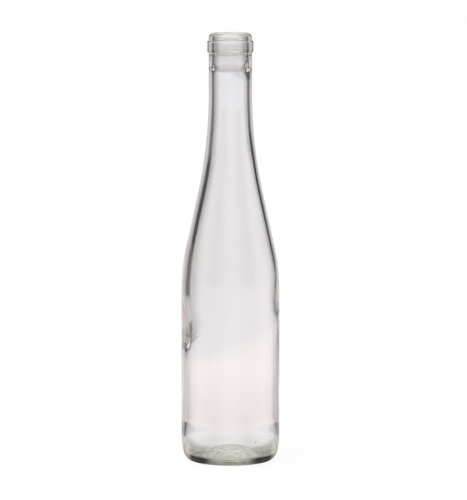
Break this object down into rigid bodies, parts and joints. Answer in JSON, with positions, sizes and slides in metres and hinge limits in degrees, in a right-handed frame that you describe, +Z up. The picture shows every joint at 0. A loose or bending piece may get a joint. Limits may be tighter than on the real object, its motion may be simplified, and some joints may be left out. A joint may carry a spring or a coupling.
{
  "type": "half wine bottle",
  "caption": "Empty clear glass half wine bottle: tall and slender, with long sloping shoulders, a flat band collar under the lip and a shallow push-up in the base.",
  "frame": {"origin": "centre of the ring that the bottle stands on, on the bottle's axis", "axes": "+Z up along the bottle's axis to its mouth; the bottle is round, so +X and +Y are free, and -Y is taken as the front"},
  "size_m": [0.061, 0.061, 0.2667],
  "materials": {
    "clear_glass": "clear flint glass with a polished surface"
  },
  "bodies": {
    "root": {"bottle": "clear_glass"}
  },
  "joints": []
}
